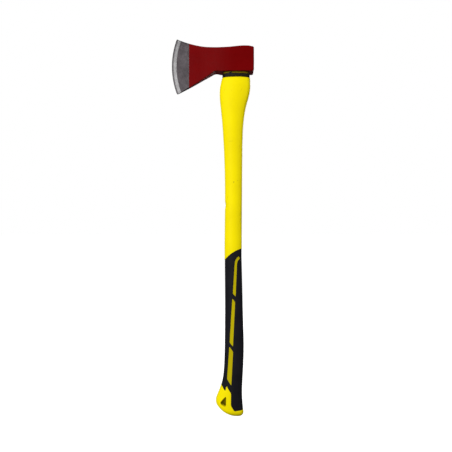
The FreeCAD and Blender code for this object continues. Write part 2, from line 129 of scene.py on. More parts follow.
def row_faces(rows, columns, start=0, closed=False):
    """Quads between successive closed rows of points, facing out when rows run up."""
    faces = []
    last = rows if closed else rows - 1
    for row in range(last):
        a = start + row * columns
        b = start + (row + 1) % rows * columns
        for column in range(columns):
            after = (column + 1) % columns
            faces.append((a + column, a + after, b + after, b + column))
    return faces


def fan(centre, first, columns, flip):
    """Triangles that close a row of points with one in its middle."""
    pairs = [(first + c, first + (c + 1) % columns) for c in range(columns)]
    return [(centre, b, a) if flip else (centre, a, b) for a, b in pairs]


def vertex_normals(points, faces):
    quads = np.array([f if len(f) == 4 else (*f, f[2]) for f in faces])
    corners = points[quads]
    across = np.cross(corners[:, 2] - corners[:, 0], corners[:, 3] - corners[:, 1])
    tri = quads[:, 2] == quads[:, 3]
    across[tri] = np.cross(corners[tri, 1] - corners[tri, 0], corners[tri, 2] - corners[tri, 0])
    total = np.zeros_like(points)
    for corner in range(4):
        np.add.at(total, quads[:, corner], across)
    return total / np.maximum(np.linalg.norm(total, axis=1, keepdims=True), 1e-12)


def spline(knots, values, at):
    """Natural cubic spline through the values."""
    knots, values = np.asarray(knots, float), np.asarray(values, float)
    count = len(knots)
    gap, slope = np.diff(knots), np.diff(values) / np.diff(knots)
    system, right = np.eye(count), np.zeros(count)
    for i in range(1, count - 1):
        system[i, i - 1:i + 2] = gap[i - 1], 2 * (gap[i - 1] + gap[i]), gap[i]
        right[i] = 6 * (slope[i] - slope[i - 1])
    curve = np.linalg.solve(system, right)
    i = np.clip(np.searchsorted(knots, at) - 1, 0, count - 2)
    t, h = at - knots[i], gap[i]
    first = slope[i] - h * (2 * curve[i] + curve[i + 1]) / 6
    return values[i] + t * (first + t * (curve[i] / 2 + t * (curve[i + 1] - curve[i]) / (6 * h)))


def arc_points(start, end, radius, step=0.3):
    """An arc in the side view; a positive radius bows it to the left of the straight line."""
    start, end = np.array(start, float), np.array(end, float)
    span = end - start
    length = math.hypot(*span)
    left = np.array([-span[1], span[0]]) / length
    centre = (start + end) / 2 - left * math.copysign(
        math.sqrt(radius ** 2 - length ** 2 / 4), radius)
    a, b = (math.atan2(*(p - centre)[::-1]) for p in (start, end))
    turn = (b - a + math.pi) % (2 * math.pi) - math.pi
    angles = a + turn * np.linspace(0, 1, max(int(abs(turn * radius) / step), 2) + 1)
    return centre + abs(radius) * np.stack([np.cos(angles), np.sin(angles)], axis=1)


def line_points(start, end, step=0.3):
    start, end = np.array(start, float), np.array(end, float)
    share = np.linspace(0, 1, max(int(math.hypot(*(end - start)) / step), 2) + 1)[:, None]
    return start + (end - start) * share


def polyline_distance(points, line, closed=True):
    """Distance from each point to a polyline in the side view."""
    ends = np.roll(line, -1, axis=0) if closed else line[1:]
    starts = line if closed else line[:-1]
    best = np.full(len(points), 1e9)
    for a, b in zip(starts, ends):
        span = b - a
        share = np.clip((points - a) @ span / max(span @ span, 1e-12), 0, 1)
        away = points - a - share[:, None] * span
        best = np.minimum(best, np.einsum("ij,ij->i", away, away))
    return np.sqrt(best)


def inside(points, line):
    """Whether each point lies in a closed outline of the side view."""
    crossings = np.zeros(len(points), int)
    for a, b in zip(line, np.roll(line, -1, axis=0)):
        above = (a[1] > points[:, 1]) != (b[1] > points[:, 1])
        if abs(b[1] - a[1]) > 1e-12:
            at = a[0] + (points[:, 1] - a[1]) / (b[1] - a[1]) * (b[0] - a[0])
            crossings += above & (points[:, 0] < at)
    return crossings % 2 == 1


def signed_area(points, line):
    """Distance to a closed outline, positive inside."""
    away = polyline_distance(points, line)
    return np.where(inside(points, line), away, -away)


def round_corner(before, after, radius):
    """Join two polylines that meet at a corner with an arc; returns both halves with the arc."""
    turn = np.cross(before[-1] - before[-2], after[1] - after[0])
    sign = 1 if turn > 0 else -1
    ways = np.diff(before, axis=0)
    left = np.stack([-ways[:, 1], ways[:, 0]], axis=1) / np.hypot(*ways.T)[:, None]
    centres = before[1:] + left * radius * sign
    away = polyline_distance(centres, after, closed=False)
    index = len(centres) - 1 - int(np.argmax(away[::-1] >= radius))
    centre = centres[index]
    touch = int(np.argmin(np.hypot(*(after - centre).T)))
    a, b = (math.atan2(*(p - centre)[::-1]) for p in (before[index + 1], after[touch]))
    sweep = (b - a + math.pi) % (2 * math.pi) - math.pi
    angles = a + sweep * np.linspace(0, 1, 17)
    arc = centre + radius * np.stack([np.cos(angles), np.sin(angles)], axis=1)
    return (np.concatenate([before[:index + 1], arc[:9]]),
            np.concatenate([arc[8:], after[touch + 1:]]))


# ---------------------------------------------------------------- sizes shared by several pieces

EYE_LENGTH, EYE_WIDTH, EYE_END = 63, 26, 11
HEAD_HEIGHT, EYE_MARGIN = 57.9, 4
TENON = (30, 30, 22.6, 9.5)
CORE = (19, 7, 13, 4.5)
SEAL = (32.8, 32.8, 29.4, 12.3)
TENON_TOP = 54.5
SHOULDER = -13
BUTT = -817.69


def inset(shape, amount):
    return tuple(s - a for s, a in zip(shape, (amount, amount, amount * 2, amount)))


def eye_oval(z):
    share = (z + EYE_MARGIN) / (HEAD_HEIGHT + EYE_MARGIN * 2)
    half = EYE_LENGTH / 2 + 2 * share
    return half, half, EYE_WIDTH + 2.5 * share, EYE_END


# ---------------------------------------------------------------- the head

EDGE_RADIUS, EDGE_CENTRE = 186, np.array([32.6, 15.2])
TOE, HEEL = (-141.52, 80.6), (-140.68, -52.4)
CROWN, POLL_TOP, POLL_LOW = (-2, 57.9), (42, 58.3), (42, 0)
LUG, NOTCH = (-37, 0), (-48.6, 2.4)
POLL_ROUND, EDGE_SOFT = 4.0, 1.3
PAINT_EDGE = -112
FINE_STEPS = [0, 0.12, 0.35, 0.7, 1.1, 1.6, 2.3, 3.2, 4.4]
POLL_STEPS = [0, 0.12, 0.35, 0.7, 1.2, 1.8, 2.5, 3.3, 4.4]
EYE_STRIP = 37.6      # half length of the flat strip that is left out for the eye
EYE_WAY = (33, 14)    # half lengths of the oval that points outwards from the eye's middle
ACROSS = 10


def head_profile(x, z):
    """Half thickness of the head, and how far the ground bevel lies under the forged cheek."""
    depth = EDGE_RADIUS - np.hypot(x - EDGE_CENTRE[0], z - EDGE_CENTRE[1])
    near_edge = 1 - smooth_step(depth, 12, 50)
    along = near_edge * (depth - 153.4) + (1 - near_edge) * x
    blade = np.interp(along, [-153.4, -88], [1.4, 7.6])
    hollow = arc_points((-88, 7.6), (-66, 11.5), -130, 0.5)
    swell = arc_points((-66, 11.5), (-4, 19.6), 246, 0.5)
    rear = line_points((-4, 19.6), (42, 19), 0.5)
    plan = np.concatenate([hollow, swell, rear])
    cheek = np.where(x < -88, blade, np.interp(x, plan[:, 0], plan[:, 1]))
    ground = np.interp(depth, [0, 3.2, 11.6, 26, 60], [0.15, 1.1, 2.52, 5.6, 40])
    return np.minimum(cheek, ground), cheek - ground


def head_outline():
    """The four sides of the head's outline: beard and underside, poll, top and cutting edge."""
    edge = arc_points(HEEL, TOE, EDGE_RADIUS)
    top = np.concatenate([arc_points(TOE, CROWN, -255), arc_points(CROWN, POLL_TOP, 195)[1:]])
    beard = arc_points(NOTCH, HEEL, 1200)[::-1]
    under = line_points(LUG, POLL_LOW)
    lug = line_points(NOTCH, LUG)
    beard, lug = round_corner(beard, lug, 14)
    lug, under = round_corner(lug, under, 4)
    low = np.concatenate([beard, lug[1:], under[1:]])
    poll = line_points(POLL_LOW, POLL_TOP)
    low, poll = round_corner(low, poll, POLL_ROUND)
    top_back = top[::-1]
    poll, top_back = round_corner(poll, top_back, POLL_ROUND)
    edge_back = edge[::-1]
    top_back, edge_back = round_corner(top_back, edge_back, 1.2)
    edge_back, low = round_corner(edge_back, low, 3)
    return low, poll, top_back[::-1], edge_back[::-1]


def by_x(line, xs):
    order = np.argsort(line[:, 0])
    return np.stack([xs, np.interp(xs, line[order, 0], line[order, 1])], axis=1)


def by_length(line, shares):
    steps = np.concatenate([[0], np.cumsum(np.hypot(*np.diff(line, axis=0).T))])
    return np.stack([np.interp(shares * steps[-1], steps, line[:, k]) for k in (0, 1)], axis=1)


def graded(length, low, high, step):
    """Places from 0 to length: the given distances from each end, and even steps between."""
    a, b = low[-1], length - high[-1]
    middle = np.linspace(a, b, max(int((b - a) / step), 1) + 1)[1:-1]
    return np.concatenate([low, middle, length - np.array(high)[::-1]])


def make_head():
    """Two faces stretched between the four sides of the outline, the rim between them, the eye."""
    low, poll, top, edge = head_outline()
    t = graded(90, FINE_STEPS, FINE_STEPS, 1.25) / 90
    span = POLL_LOW[0] - low[0, 0]
    s = graded(span, np.arange(0, 17, 0.6), POLL_STEPS, 1.3) / span
    low_line = by_x(low, low[0, 0] + (low[-1, 0] - low[0, 0]) * s)
    top_line = by_x(top, top[0, 0] + (top[-1, 0] - top[0, 0]) * s)
    edge_line, poll_line = by_length(edge, t), by_length(poll, t)
    S, T = s[:, None, None], t[None, :, None]
    flat = ((1 - T) * low_line[:, None] + T * top_line[:, None]
            + (1 - S) * edge_line[None] + S * poll_line[None]
            - (1 - S) * (1 - T) * low_line[0] - (1 - S) * T * top_line[0]
            - S * (1 - T) * low_line[-1] - S * T * top_line[-1])
    columns, rows = len(s), len(t)
    flat = flat.reshape(-1, 2)
    half, bevel = head_profile(flat[:, 0], flat[:, 1])
    rim = np.concatenate([low, poll, top[::-1]])
    away = polyline_distance(flat, rim[::2], closed=False)
    index = np.arange(columns * rows).reshape(columns, rows)
    away[np.concatenate([index[:, 0], index[:, -1], index[-1]])] = 0
    blend = smooth_step(flat[:, 0], 30, 37)
    radius = EDGE_SOFT + (POLL_ROUND - EDGE_SOFT) * blend
    radius = np.minimum(radius * (1 + 0.25 * waves(np.c_[flat, flat[:, :1] * 0], 23, seed=5)),
                        half * 0.6)
    near = np.clip(radius - away, 0, None)
    drop = radius - np.sqrt(np.maximum(radius ** 2 - near ** 2, 0))
    cube = np.c_[flat[:, 0], flat[:, 1], flat[:, 0] * 0]
    forged = smooth_step(flat[:, 0], -120, -95)
    uneven = (0.16 * waves(cube, 26, seed=2) + 0.06 * waves(cube, 9, seed=3)) * forged
    uneven += 0.03 * waves(cube, 14, seed=8) * smooth_step(flat[:, 0], -146, -138)
    body_half = half - drop - np.abs(uneven) * 0.8 + 0.1 * uneven
    points = [p for side in (-1, 1) for p in np.c_[flat[:, 0], side * body_half, flat[:, 1]]]
    edge_wear_and_sheen, ground = list(np.exp(-away / 1.6)) * 2, list(bevel) * 2
    count = columns * rows
    faces = []
    for i in range(columns - 1):
        for j in range(rows - 1):
            a, b, c, d = index[i, j], index[i + 1, j], index[i + 1, j + 1], index[i, j + 1]
            faces.append((a, b, c, d))
            faces.append((d + count, c + count, b + count, a + count))

    def add(point, sheen_and_wear=0.0, bare=-9.0):
        points.append(np.array(point, float))
        edge_wear_and_sheen.append(sheen_and_wear)
        ground.append(bare)
        return len(points) - 1

    def cross(near_vertex):
        """Vertices across the thickness, from the near side to the far side."""
        a, b = points[near_vertex], points[near_vertex + count]
        made = [near_vertex]
        for k in range(1, ACROSS):
            at = a + (b - a) * (k / ACROSS)
            edge_off = abs(b[1] - a[1]) / 2 - abs(at[1])
            made.append(add(at, math.exp(-edge_off / 1.6), ground[near_vertex]))
        return made + [near_vertex + count]

    def strip(p, q, flip=False):
        """Faces between two such rows of vertices."""
        for k in range(ACROSS):
            quad = (p[k], p[k + 1], q[k + 1], q[k])
            faces.append(quad[::-1] if flip else quad)

    for j in range(rows - 1):
        faces.append((index[0, j], index[0, j + 1], index[0, j + 1] + count, index[0, j] + count))
    hole = [int(np.argmin(np.abs(low_line[:, 0] - x))) for x in (-EYE_STRIP, EYE_STRIP)]
    crosses = {}
    for j in (0, rows - 1):
        for i in range(columns):
            if i <= hole[0] or i >= hole[1]:
                crosses[i, j] = cross(index[i, j])
        for i in range(columns - 1):
            if i + 1 <= hole[0] or i >= hole[1]:
                strip(crosses[i, j], crosses[i + 1, j], flip=j > 0)
    for j in range(1, rows - 1):
        crosses[columns - 1, j] = cross(index[-1, j])
    for j in range(rows - 1):
        strip(crosses[columns - 1, j], crosses[columns - 1, j + 1])

    def rim_loop(j):
        """The edge of the flat strip round the eye."""
        i0, i1 = hole
        loop = [index[i, j] for i in range(i0, i1)] + crosses[i1, j][:-1]
        loop += [index[i, j] + count for i in range(i1, i0, -1)] + crosses[i0, j][:0:-1]
        return loop

    def ring_inwards(loop, j):
        line = low_line if j == 0 else top_line
        up = 1 if j else -1
        outer = np.array([points[v] for v in loop])
        angle = np.arctan2(outer[:, 1] / 18, outer[:, 0] / 37.5)
        level = float(np.interp(0, line[:, 0], line[:, 1]))
        way = np.c_[EYE_WAY[0] * np.cos(angle), EYE_WAY[1] * np.sin(angle)]
        mouth = way * reach_of(
            lambda share: oval_distance(*(way * share[:, None]).T, *eye_oval(level)),
            np.full(len(way), 2.0))[:, None]
        grow = 1 + 0.7 / np.hypot(mouth[:, 0], mouth[:, 1])[:, None]
        rings = [loop]
        for share in (0.3, 0.6, 0.85, 1.0):
            at = outer[:, :2] + (mouth * grow - outer[:, :2]) * share
            zs = np.interp(at[:, 0], line[:, 0], line[:, 1])
            rings.append([add((x, y, z), 0.75 if share == 1 else 0.0)
                          for (x, y), z in zip(at, zs)])
        for shrink, fall in ((0.3, 0.22), (0.0, 0.7)):
            at = mouth * (1 + shrink / np.hypot(mouth[:, 0], mouth[:, 1])[:, None])
            zs = np.interp(at[:, 0], line[:, 0], line[:, 1]) - up * fall
            rings.append([add((x, y, z), 0.5) for (x, y), z in zip(at, zs)])
        return rings, mouth

    low_rings, low_mouth = ring_inwards(rim_loop(0), 0)
    top_rings, top_mouth = ring_inwards(rim_loop(rows - 1), rows - 1)
    wall = []
    for share in (0.75, 0.5, 0.25):
        at = low_mouth * share + top_mouth * (1 - share)
        level = HEAD_HEIGHT * (1 - share)
        wall.append([add((x, y, level)) for x, y in at])
    chain = low_rings + wall + top_rings[::-1]
    for p, q in zip(chain, chain[1:]):
        for k in range(len(p)):
            after = (k + 1) % len(p)
            faces.append((p[k], q[k], q[after], p[after]))
    faces = [tuple(int(v) for v in f) for f in faces]
    return make_mesh("head_forging", np.array(points), faces, {"edge_wear_and_sheen": edge_wear_and_sheen, "ground": ground})


# ---------------------------------------------------------------- the handle

# height above the butt's end or depth below the head, reach to front and back, thickness
SECTIONS = [
    (BUTT - 8, 68.0, 19.5, 32), (BUTT + 28, 54.0, 15.8, 33), (BUTT + 50, 45.0, 14.5, 33),
    (BUTT + 80, 34.0, 15.2, 32.5), (BUTT + 113, 29.2, 17.0, 31.5), (BUTT + 163, 27.4, 18.6, 31),
    (BUTT + 227, 26.8, 17.2, 30.5), (BUTT + 308, 26.8, 15.2, 29.5), (BUTT + 378, 27.5, 13.8, 28),
    (-319.85, 26.6, 13.9, 27), (-200, 28.3, 14.9, 28), (-147, 31.1, 16.0, 29.5),
    (-107, 34.2, 19.1, 31.5), (-80, 37.1, 24.0, 33), (-52, 39.2, 31.5, 34),
    (-33, 38.0, 33.9, 33.5), (SHOULDER, 33.4, 33.4, 30.6),
]
SECTION_ENDS = [0.36 * s[3] for s in SECTIONS[:-1]] + [12.9]
BUTT_RADIUS, BUTT_CENTRE, BUTT_ROUND = 66, (7.4, BUTT + 66), 9
CAP_CENTRE = np.array([-15.0, 0.0, BUTT + 48])
QUARTER = 32
COLUMNS = QUARTER * 4
GRIP_DEPTH = 2.4

GRIP_EDGE = [
    (26, 401), (-34, 361.5), (-70, 361.5), (-70, 75.5), (-36, 75.5), (-26, 61.5), (-23.2, 74.5),
    (-12.2, 57), (-12.5, 28.5), (-4.5, 14.5), (30, 16),
]
WINDOWS = [
    [(6.4, 380.5), (-3.6, 362.5), (-8.1, 293), (-1.2, 285), (2.2, 361), (9.6, 375.5)],
    [(-9.5, 281.5), (-16.0, 177), (-7.6, 167), (-2.3, 272.5)],
    [(-16.7, 168), (-22.0, 90.5), (-11.6, 75), (-7.3, 155.5)],
]
RECESS = [(-24, 51), (-38.5, 34), (-24, 23)]
RECESS_FLOOR = 2.2
GRIP_LIMIT, RECESS_LIMIT, RECESS_BACK = -405, BUTT + 60, -15
CORE_END = np.array([-6.0, 0, -761.7])
CAP_ROWS, INNER_ROWS = 56, 30
LIP, FAR_OUT = 0.35, -50.0


def side_line(corners, arcs=()):
    """A closed outline in the side view from corners given by their height above the butt."""
    arcs = dict(arcs)
    line = []
    for number, corner in enumerate(corners):
        after = corners[(number + 1) % len(corners)]
        points = arc_points(corner, after, arcs[number], 1.5) if number in arcs \
            else line_points(corner, after, 1000)
        line.extend(points[:-1])
    return np.array(line) + (0, BUTT)


def softened(line, amount):
    """The same outline with its corners cut and rounded by repeated corner cutting."""
    for _ in range(3):
        after = np.roll(line, -1, axis=0)
        span = np.hypot(*(after - line).T)[:, None]
        share = np.minimum(0.25, amount / np.maximum(span, 1e-9))
        line = np.stack([line + (after - line) * share, after - (after - line) * share],
                        axis=1).reshape(-1, 2)
        amount *= 0.5
    return line


def handle_shape(z):
    knots = [s[0] for s in SECTIONS]
    return [spline(knots, [s[k] for s in SECTIONS], z) for k in (1, 2, 3)] + [
        spline(knots, SECTION_ENDS, z)]


def handle_distance(points):
    """Rounded meeting of the handle's form and the curved end of the butt."""
    form = oval_distance(points[:, 0], points[:, 1], *handle_shape(points[:, 2])) * 0.95
    end = np.hypot(points[:, 0] - BUTT_CENTRE[0], points[:, 2] - BUTT_CENTRE[1]) - BUTT_RADIUS
    a, b = form + BUTT_ROUND, end + BUTT_ROUND
    return (np.minimum(np.maximum(a, b), 0) + np.hypot(np.maximum(a, 0), np.maximum(b, 0))
            - BUTT_ROUND)


def cap_row(tilt):
    """A row of points on the butt, seen from the cap's centre at a tilt below level."""
    base = ring(*(float(v) for v in handle_shape(CAP_CENTRE[2])), CAP_CENTRE[2], QUARTER)
    level = base - CAP_CENTRE
    level /= np.linalg.norm(level, axis=1, keepdims=True)
    way = level * math.cos(tilt) - np.array([0, 0, 1]) * math.sin(tilt)
    reach = reach_of(lambda share: handle_distance(CAP_CENTRE + way * share[:, None]),
                     np.full(len(way), 90.0))
    return CAP_CENTRE + way * reach[:, None]


def handle_rows():
    rows = [cap_row(tilt) for tilt in np.radians(np.linspace(88.6, 1.5, CAP_ROWS))]
    fine = np.arange(CAP_CENTRE[2], -412, 1.0)
    coarse = np.arange(-412, -15, 1.55)
    for z in np.concatenate([fine, coarse]):
        rows.append(ring(*(float(v) for v in handle_shape(z)), z, QUARTER))
    lip = (33.4, 33.4, 30.6, 12.9)
    for amount, z in ((0, -13.7), (0.12, -13.3), (0.45, -13.05), (1.0, SHOULDER)):
        rows.append(ring(*inset(lip, amount), z, QUARTER))
    for amount, z in ((-0.8, SHOULDER), (-0.25, -12.8), (0, -12.2), (0, -9), (0, -6), (0, -4),
                      (0, -2), (0, 0), (0, 12), (0, 30), (0, 46), (0, 53.9), (0.15, 54.3),
                      (0.6, TENON_TOP)):
        rows.append(ring(*inset(TENON, amount), z, QUARTER))
    for amount, z in ((-2.5, TENON_TOP), (-0.5, TENON_TOP), (-0.1, 54.3), (-0.05, 53.8), (-0.05, 20),
                      (-0.05, -100), (-0.05, -300), (-0.05, -500), (-0.05, -700), (-0.05, -761.7)):
        rows.append(ring(*inset(CORE, amount), z, QUARTER))
    return np.array(rows)


def snap_to(points, value):
    """Move the grid's vertices that are nearest to where value is zero onto that line."""
    grid, marked = points.copy(), value.copy()
    move = np.full(value.shape, 2.0)
    rows, columns = np.arange(value.shape[0])[:, None], np.arange(value.shape[1])[None]
    for here, there in (((rows[:-1], columns), (rows[1:], columns)),
                        ((rows, columns), (rows, np.roll(columns, -1)))):
        va, vb = value[here], value[there]
        cross = va * vb < 0
        share = np.where(cross, va / np.where(cross, va - vb, 1), 0)
        at = points[here] + (points[there] - points[here]) * share[..., None]
        for index, near_side, away in ((here, share < 0.5, share), (there, share >= 0.5, 1 - share)):
            better = cross & near_side & (away < move[index])
            row, column = (np.broadcast_to(k, better.shape)[better] for k in index)
            move[row, column] = away[better]
            grid[row, column] = at[better]
            marked[row, column] = 0
    return grid, marked


def classify(faces, marked, centre_value):
    """Split quads that the line crosses from corner to corner, and say which side faces are on."""
    out, inner = [], []
    for face, middle in zip(faces, centre_value):
        values = [marked[v] for v in face]
        high, low = any(v > 0 for v in values), any(v < 0 for v in values)
        if high and low and len(face) == 4:
            a, b = (0, 2) if values[0] == 0 and values[2] == 0 else (1, 3)
            for k in (1 - a, 3 - a):
                out.append(tuple(face[m] for m in sorted((a, b, k))))
                inner.append(values[k] > 0)
        else:
            out.append(face)
            inner.append(high or (not low and middle > 0))
    return out, inner


def shell(points, normals, own, floor, floor_points, lip, flip_floor):
    """Faces of one piece: its own skin, a rounded lip down from its edges, and the floor there."""
    used = sorted({v for f in own for v in f})
    number = {v: i for i, v in enumerate(used)}
    made = [points[v].copy() for v in used]
    faces = [tuple(number[v] for v in f) for f in own]
    edges = dict.fromkeys(pair for f in own for pair in zip(f, f[1:] + f[:1]))
    floor_edges = {pair for f in floor for pair in zip(f, f[1:] + f[:1])}
    border = [(a, b) for a, b in edges
              if (b, a) not in edges and (flip_floor or (b, a) in floor_edges)]
    edge_vertices = {v for pair in border for v in pair}
    sides = {v: np.zeros(3) for v in edge_vertices}
    for f in own:
        middle = sum(points[v] for v in f) / len(f)
        for v in f:
            if v in sides:
                sides[v] += middle - points[v]
    along = {v: np.zeros(3) for v in edge_vertices}
    for a, b in border:
        way = points[b] - points[a]
        way /= max(np.linalg.norm(way), 1e-9)
        along[a] += way
        along[b] += way
    loops = {}
    for v in edge_vertices:
        n = normals[v]
        t = sides[v] - n * (sides[v] @ n)
        w = along[v]
        if np.linalg.norm(w) > 1e-6:
            w = w / np.linalg.norm(w)
            t = t - w * (t @ w)
        t /= max(np.linalg.norm(t), 1e-9)
        p = points[v]
        made[number[v]] = p + t * lip
        chain = [number[v]]
        for out, down in ((0.35, 0.2), (0.08, 0.6)):
            made.append(p + t * lip * out - n * lip * down)
            chain.append(len(made) - 1)
        loops[v] = chain
    floor_number = {}
    for v in sorted({v for f in floor for v in f} | edge_vertices):
        made.append(floor_points[v].copy())
        floor_number[v] = len(made) - 1
    for v in edge_vertices:
        loops[v].append(floor_number[v])
    for a, b in border:
        for k in range(3):
            faces.append((loops[b][k], loops[a][k], loops[a][k + 1], loops[b][k + 1]))
    for f in floor:
        ids = tuple(floor_number[v] for v in f)
        faces.append(ids[::-1] if flip_floor else ids)
    return np.array(made), faces


def damage(points):
    """Dents and the nick on the front edge of the shaft."""
    x, z = points[:, 0], points[:, 2]
    front = smooth_step(-x, 19, 25)
    nick = np.clip(1 - ((z + 316) / 9.5) ** 2, 0, 1) ** 1.3
    points[:, 0] += 1.5 * nick * front
    ding = np.exp(-(((z + 246) / 3.2) ** 2 + ((x - 10) / 4) ** 2)) * (points[:, 1] < 0)
    points[:, 1] += 0.35 * ding
    return points


def depth_near(side, near, lines):
    """Depth inside the closed outlines, worked out only for the points that may be near them."""
    depth = np.full(len(side), FAR_OUT)
    for line in lines:
        depth[near] = np.maximum(depth[near], signed_area(side[near], line))
    return depth


def off_zero(value):
    """The same numbers with zeros moved aside, because zero marks a vertex on a line."""
    return np.where(np.abs(value) < 1e-6, 1e-6, value)


def make_handle():
    """The jacket and the grip, from one grid whose vertices are moved onto their outlines."""
    rows = handle_rows()
    row_count = len(rows)
    grip_line = softened(side_line(GRIP_EDGE, {0: -75}), 1.5)
    windows = [softened(side_line(WINDOWS[0], {0: -24, 4: 18}), 1.2)]
    windows += [softened(side_line(corners), 1.6) for corners in WINDOWS[1:]]
    recess_line = softened(side_line(RECESS), 2.6)
    outside = (row_count - INNER_ROWS) * COLUMNS

    def in_grip_area(side, near):
        return np.minimum(depth_near(side, near, [grip_line]), -depth_near(side, near, windows))

    side = rows.reshape(-1, 3)[:, [0, 2]]
    number = np.arange(len(side))
    near = (side[:, 1] < GRIP_LIMIT) & (side[:, 1] > BUTT - 1) & (number < outside)
    area = off_zero(in_grip_area(side, near))
    grid, marked = snap_to(rows, area.reshape(row_count, COLUMNS))
    marked = marked.reshape(-1)
    side = grid.reshape(-1, 3)[:, [0, 2]]
    near = (side[:, 1] < GRIP_LIMIT) & (side[:, 1] > RECESS_LIMIT) & (number < outside)
    opening = depth_near(side, near, windows)
    near = (side[:, 1] < RECESS_LIMIT) & (side[:, 0] < RECESS_BACK) & (marked < -2)
    near &= number < (CAP_ROWS + 40) * COLUMNS
    hollow = off_zero(depth_near(side, near, [recess_line]))
    grid, hollow_marked = snap_to(grid, hollow.reshape(row_count, COLUMNS))
    hollow_marked = hollow_marked.reshape(-1)

    pole = np.array([CAP_CENTRE[0], 0, BUTT_CENTRE[1] - math.sqrt(
        BUTT_RADIUS ** 2 - (CAP_CENTRE[0] - BUTT_CENTRE[0]) ** 2)])
    points = np.concatenate([grid.reshape(-1, 3), [pole, CORE_END]])
    faces = row_faces(row_count, COLUMNS)
    end_faces = fan(len(points) - 2, 0, COLUMNS, True)
    end_faces += fan(len(points) - 1, (row_count - 1) * COLUMNS, COLUMNS, False)

    def middles_of(some):
        return np.array([points[list(f)].mean(axis=0) for f in some])[:, [0, 2]]

    side = middles_of(faces)
    near = (side[:, 1] < GRIP_LIMIT) & (np.arange(len(faces)) < outside)
    faces, in_grip = classify(faces, marked, in_grip_area(side, near))
    grip_faces = [f for f, g in zip(faces, in_grip) if g]
    jacket_faces = [f for f, g in zip(faces, in_grip) if not g]
    jacket_faces, in_hollow = classify(jacket_faces, hollow_marked,
                                       signed_area(middles_of(jacket_faces), recess_line))
    hollow_faces = {f for f, h in zip(jacket_faces, in_hollow)
                    if h and all(hollow_marked[v] >= 0 for v in f)}
    jacket_faces = [f for f in jacket_faces if f not in hollow_faces] + end_faces

    points = damage(points)
    normals = vertex_normals(points, faces + end_faces)
    seat = points - normals * GRIP_DEPTH
    below_top = GRIP_EDGE[0][1] + BUTT - points[:, 2]
    sunk = 0.25 + 0.5 * np.exp(-np.abs(below_top - 20) / 30)
    skin = points - normals * sunk[:, None]
    grip_points, grip_mesh_faces = shell(skin, normals, grip_faces, grip_faces, seat, LIP, True)
    floor = seat.copy()
    for v in {v for f in hollow_faces for v in f}:
        floor[v] = (points[v][0], math.copysign(RECESS_FLOOR, points[v][1]), points[v][2])
    opening = np.append(opening, [FAR_OUT, FAR_OUT])
    skin = points - normals * (0.9 * smooth_step(opening, -0.2, 0.1))[:, None]
    jacket_points, jacket_mesh_faces = shell(skin, normals, jacket_faces,
                                             grip_faces + sorted(hollow_faces), floor, LIP, False)
    side = jacket_points[:, [0, 2]]
    near = (side[:, 1] < GRIP_LIMIT) & (side[:, 1] > RECESS_LIMIT)
    shade = smooth_step(depth_near(side, near, windows), -1.2, 0)
    near = (side[:, 1] < RECESS_LIMIT) & (side[:, 1] > BUTT + 15) & (side[:, 0] < RECESS_BACK)
    # painted shade for the recess in the butt
    recess_shade = smooth_step(depth_near(side, near, [recess_line]), -1.0, 0.2)
    recess_shade *= smooth_step(-np.abs(jacket_points[:, 1]), -16.0, -14.5)
    jacket = make_mesh("handle_moulding", jacket_points, jacket_mesh_faces,
                       {"window_shade": shade, "painted_recess_shade": recess_shade})
    return jacket, make_mesh("grip_rubber_sleeve", grip_points, grip_mesh_faces)


# ---------------------------------------------------------------- what fills and seals the eye

def make_core():
    rows = [ring(*inset(CORE, a), z, QUARTER) for a, z in (
        (0.6, -761.5), (0.1, -760.8), (0.05, -600), (0.05, -400), (0.05, -200), (0.05, 0),
        (0.05, 40), (0.05, 53.6), (0.1, 54.1), (0.35, 54.4), (1.0, 54.45), (2.2, 54.48),
        (3.4, 54.46))]
    points = np.concatenate(rows)
    faces = row_faces(len(rows), COLUMNS)
    ends = np.array([[-6, 0, -761.5], [-6, 0, 54.46]])
    points = np.concatenate([points, ends])
    faces += fan(len(points) - 2, 0, COLUMNS, True)
    faces += fan(len(points) - 1, (len(rows) - 1) * COLUMNS, COLUMNS, False)
    return make_mesh("core_bar", points, faces)


def make_resin():
    """Cast resin: it creeps up the steel and the tenon where it wetted them."""
    quarter = 48
    count = quarter * 4

    def between(share, z, lift=0.0):
        outer = ring(*inset(eye_oval(z), 0.06), z, quarter)
        inner = ring(*TENON, z, quarter)
        made = outer * (1 - share) + inner * share
        made[:, 2] = z + lift
        return made

    rows = [between(1, 1.6), between(0.5, 1.5), between(0, 1.7), between(0, 15), between(0, 35),
            between(0, 50)]
    rim = between(0, 54.5)
    rim[:, 2] += 0.7 + 0.25 * waves(rim, 16, seed=11)
    rows.append(rim)
    for share, lift in ((0.12, 0.25), (0.3, -0.15), (0.55, -0.28), (0.8, -0.1), (1, 0.12)):
        row = between(share, 54.3, lift)
        row[:, 2] += 0.1 * waves(row, 7, seed=12)
        rows.append(row)
    rows += [between(1, 35), between(1, 15)]
    points = np.concatenate(rows)
    return make_mesh("eye_resin", points, row_faces(len(rows), count, closed=True))


